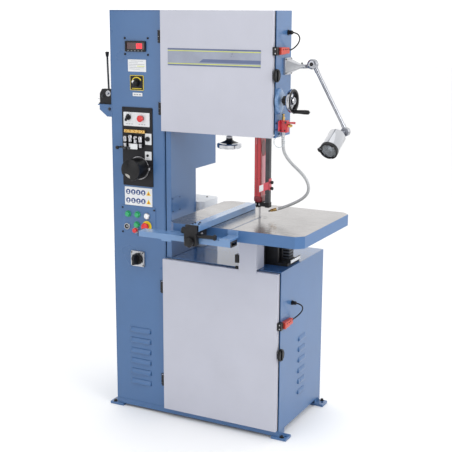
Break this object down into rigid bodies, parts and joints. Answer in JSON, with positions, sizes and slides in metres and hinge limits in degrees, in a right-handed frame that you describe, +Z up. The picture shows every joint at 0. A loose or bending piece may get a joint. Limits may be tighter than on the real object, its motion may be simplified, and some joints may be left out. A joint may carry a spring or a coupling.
{
  "type": "vertical band saw",
  "caption": "Floor-standing vertical metal-cutting band saw with tilting table, rip fence, blade guard, work lamp, coolant hose and blade welder.",
  "frame": {"origin": "centre of the four floor anchor holes, at floor level", "axes": "+X from the column towards the blade and lamp (operator's right), +Y away from the operator, +Z up"},
  "size_m": [1.2291, 0.841, 1.92],
  "materials": {
    "blue_paint": "satin enamel",
    "pale_grey_paint": "satin enamel",
    "cover_white": "satin enamel",
    "black_paint": "satin enamel",
    "red_paint": "gloss enamel",
    "ground_iron": "surface ground",
    "wheel_iron": "turned and painted",
    "bright_steel": "brushed",
    "dark_steel": "blackened",
    "chrome": "polished",
    "aluminium": "satin anodised",
    "brass": "turned",
    "black_plastic": "moulded",
    "grey_plastic": "flexible",
    "green_plastic": "moulded",
    "red_plastic": "moulded",
    "light_blue_paint": "satin enamel",
    "orange_plastic": "moulded",
    "cast_alloy": "turned casting",
    "cable_rubber": "matt",
    "plate_white": "printed",
    "abrasive": "bonded abrasive"
  },
  "bodies": {
    "frame": {"base_cabinet": "blue_paint", "foot_plates": "blue_paint", "column_frame": "blue_paint", "column_front_cover": "blue_paint", "upper_housing": "blue_paint", "rear_cover": "cover_white", "door_hinges": "black_paint", "saw_blade": "bright_steel", "geared_motor": "dark_steel", "post_gearbox": "blue_paint", "trunnion_base": "black_paint", "lower_guide_block": "black_paint", "lamp_bracket": "aluminium", "coolant_valve": "red_paint", "coolant_hose": "grey_plastic", "coolant_nozzle": "brass", "interlock_switches": "orange_plastic", "upper_interlock_cable": "cable_rubber", "lower_interlock_cable": "cable_rubber", "control_plates": "plate_white", "welder_panel": "black_paint", "grinder_guard": "dark_steel", "blade_shear": "black_paint"},
    "upper_door": {"upper_door": "pale_grey_paint"},
    "lower_door": {"lower_door": "pale_grey_paint", "lower_blade_guard": "pale_grey_paint"},
    "upper_door_knob": {"upper_door_knob": "black_plastic"},
    "lower_door_knob": {"lower_door_knob": "black_plastic"},
    "wheel_carriage": {"wheel_carriage": "wheel_iron"},
    "upper_wheel": {"upper_wheel": "cast_alloy"},
    "lower_wheel": {"lower_wheel": "cast_alloy"},
    "tension_handwheel": {"tension_handwheel": "chrome"},
    "guide": {"guide_post": "dark_steel", "upper_blade_guard": "red_paint", "upper_guide_block": "black_paint"},
    "post_handwheel": {"post_handwheel": "chrome"},
    "handwheel_grip": {"handwheel_grip": "black_plastic"},
    "post_lock_knob": {"post_lock_knob": "black_plastic"},
    "table": {"table_top": "ground_iron", "table_trunnion": "black_paint", "fence_rail": "light_blue_paint"},
    "fence": {"fence_carriage": "black_paint", "fence_bar": "light_blue_paint"},
    "fence_lock_knob": {"fence_lock_knob": "black_plastic"},
    "lamp_swivel": {"lamp_swivel": "black_paint"},
    "lamp_arm": {"lamp_arm": "aluminium"},
    "lamp_head": {"lamp_head": "aluminium"},
    "coolant_lever": {"coolant_lever": "red_paint"},
    "shear_lever": {"shear_lever": "bright_steel"},
    "green_button_left": {"green_button_left": "green_plastic"},
    "green_button_right": {"green_button_right": "green_plastic"},
    "start_button": {"start_button": "green_plastic"},
    "stop_button": {"stop_button": "red_plastic"},
    "emergency_stop": {"emergency_stop": "red_plastic"},
    "speed_knob": {"speed_knob": "black_plastic"},
    "main_switch_knob": {"main_switch_knob": "black_plastic"},
    "weld_selector_knob": {"weld_selector_knob": "black_plastic"},
    "weld_button": {"weld_button": "red_plastic"},
    "weld_clamp_lever": {"weld_clamp_lever": "black_paint"},
    "grinding_wheel": {"grinding_wheel": "abrasive"}
  },
  "joints": [
    {"name": "upper_door_hinge", "type": "hinge", "parent": "frame", "child": "upper_door", "pos_m": [-0.1665, -0.2575, 1.65], "axis": [0, 0, 1], "range_deg": [-110, 0]},
    {"name": "lower_door_hinge", "type": "hinge", "parent": "frame", "child": "lower_door", "pos_m": [-0.1665, -0.2575, 0.42], "axis": [0, 0, 1], "range_deg": [-110, 0]},
    {"name": "upper_door_knob_turn", "type": "hinge", "parent": "upper_door", "child": "upper_door_knob", "pos_m": [0.4025, -0.2575, 1.651], "axis": [1, 0, 0], "range_deg": [0, 90]},
    {"name": "lower_door_knob_turn", "type": "hinge", "parent": "lower_door", "child": "lower_door_knob", "pos_m": [0.4425, -0.2575, 0.413], "axis": [1, 0, 0], "range_deg": [0, 90]},
    {"name": "tension_slide", "type": "slide", "parent": "frame", "child": "wheel_carriage", "axis": [0, 0, 1], "range_m": [-0.025, 0]},
    {"name": "upper_wheel_spin", "type": "hinge", "parent": "wheel_carriage", "child": "upper_wheel", "pos_m": [0.073, -0.1715, 1.652], "axis": [0, 1, 0], "continuous": true},
    {"name": "lower_wheel_spin", "type": "hinge", "parent": "frame", "child": "lower_wheel", "pos_m": [0.073, -0.1715, 0.51], "axis": [0, 1, 0], "continuous": true},
    {"name": "tension_handwheel_turn", "type": "hinge", "parent": "frame", "child": "tension_handwheel", "pos_m": [0.1175, -0.1265, 1.33], "axis": [0, 0, 1], "range_deg": [-1800, 0]},
    {"name": "guide_slide", "type": "slide", "parent": "frame", "child": "guide", "axis": [0, 0, 1], "range_m": [-0.04, 0.215]},
    {"name": "post_handwheel_turn", "type": "hinge", "parent": "frame", "child": "post_handwheel", "pos_m": [0.4695, -0.2225, 1.545], "axis": [1, 0, 0], "range_deg": [-165, 882]},
    {"name": "handwheel_grip_spin", "type": "hinge", "parent": "post_handwheel", "child": "handwheel_grip", "pos_m": [0.5095, -0.2225, 1.5], "axis": [1, 0, 0], "continuous": true},
    {"name": "post_lock_turn", "type": "hinge", "parent": "frame", "child": "post_lock_knob", "pos_m": [0.4365, -0.2225, 1.545], "axis": [1, 0, 0], "range_deg": [0, 90]},
    {"name": "table_tilt", "type": "hinge", "parent": "frame", "child": "table", "pos_m": [0.2945, -0.1715, 1.012], "axis": [0, 1, 0], "range_deg": [-10, 15]},
    {"name": "fence_slide", "type": "slide", "parent": "table", "child": "fence", "axis": [1, 0, 0], "range_m": [-0.17, 0.06]},
    {"name": "fence_lock_turn", "type": "hinge", "parent": "fence", "child": "fence_lock_knob", "pos_m": [0.1595, -0.5765, 0.967], "axis": [0, 1, 0], "range_deg": [0, 90]},
    {"name": "lamp_swivel_turn", "type": "hinge", "parent": "frame", "child": "lamp_swivel", "pos_m": [0.4945, -0.1365, 1.686], "axis": [1, 0, 0], "range_deg": [-60, 60]},
    {"name": "lamp_arm_turn", "type": "hinge", "parent": "lamp_swivel", "child": "lamp_arm", "pos_m": [0.5215, -0.1365, 1.697], "axis": [0, 1, 0], "range_deg": [-70, 10]},
    {"name": "lamp_head_turn", "type": "hinge", "parent": "lamp_arm", "child": "lamp_head", "pos_m": [0.6785, -0.1365, 1.417], "axis": [0, 1, 0], "range_deg": [-40, 40]},
    {"name": "coolant_lever_turn", "type": "hinge", "parent": "frame", "child": "coolant_lever", "pos_m": [0.4385, -0.2225, 1.452], "axis": [0, 1, 0], "range_deg": [0, 90]},
    {"name": "shear_lever_turn", "type": "hinge", "parent": "frame", "child": "shear_lever", "pos_m": [-0.4885, -0.1935, 1.54], "axis": [0, 1, 0], "range_deg": [-70, 5]},
    {"name": "green_button_left_press", "type": "slide", "parent": "frame", "child": "green_button_left", "axis": [0, 1, 0], "range_m": [0, 0.005], "stiffness_N_per_m": 400},
    {"name": "green_button_right_press", "type": "slide", "parent": "frame", "child": "green_button_right", "axis": [0, 1, 0], "range_m": [0, 0.005], "stiffness_N_per_m": 400},
    {"name": "start_button_press", "type": "slide", "parent": "frame", "child": "start_button", "axis": [0, 1, 0], "range_m": [0, 0.005], "stiffness_N_per_m": 400},
    {"name": "stop_button_press", "type": "slide", "parent": "frame", "child": "stop_button", "axis": [0, 1, 0], "range_m": [0, 0.005], "stiffness_N_per_m": 400},
    {"name": "emergency_stop_press", "type": "slide", "parent": "frame", "child": "emergency_stop", "axis": [0, 1, 0], "range_m": [0, 0.005], "stiffness_N_per_m": 400},
    {"name": "weld_button_press", "type": "slide", "parent": "frame", "child": "weld_button", "axis": [0, 1, 0], "range_m": [0, 0.004], "stiffness_N_per_m": 400},
    {"name": "speed_knob_turn", "type": "hinge", "parent": "frame", "child": "speed_knob", "pos_m": [-0.2965, -0.2565, 1.594], "axis": [0, 1, 0], "range_deg": [-135, 135]},
    {"name": "main_switch_turn", "type": "hinge", "parent": "frame", "child": "main_switch_knob", "pos_m": [-0.3045, -0.2665, 0.766], "axis": [0, 1, 0], "range_deg": [0, 90]},
    {"name": "weld_selector_turn", "type": "hinge", "parent": "frame", "child": "weld_selector_knob", "pos_m": [-0.3415, -0.2585, 1.436], "axis": [0, 1, 0], "range_deg": [-120, 120]},
    {"name": "weld_clamp_turn", "type": "hinge", "parent": "frame", "child": "weld_clamp_lever", "pos_m": [-0.3405, -0.2665, 1.298], "axis": [1, 0, 0], "range_deg": [-75, 0]},
    {"name": "grinding_wheel_spin", "type": "hinge", "parent": "frame", "child": "grinding_wheel", "pos_m": [-0.2895, -0.3115, 1.203], "axis": [0, 1, 0], "continuous": true}
  ],
  "couplings": [
    {"joint": "upper_wheel_spin", "follows": "lower_wheel_spin", "ratio": 1},
    {"joint": "tension_handwheel_turn", "follows": "tension_slide", "rad_per_m": 1256.6},
    {"joint": "post_handwheel_turn", "follows": "guide_slide", "rad_per_m": 71.429}
  ]
}
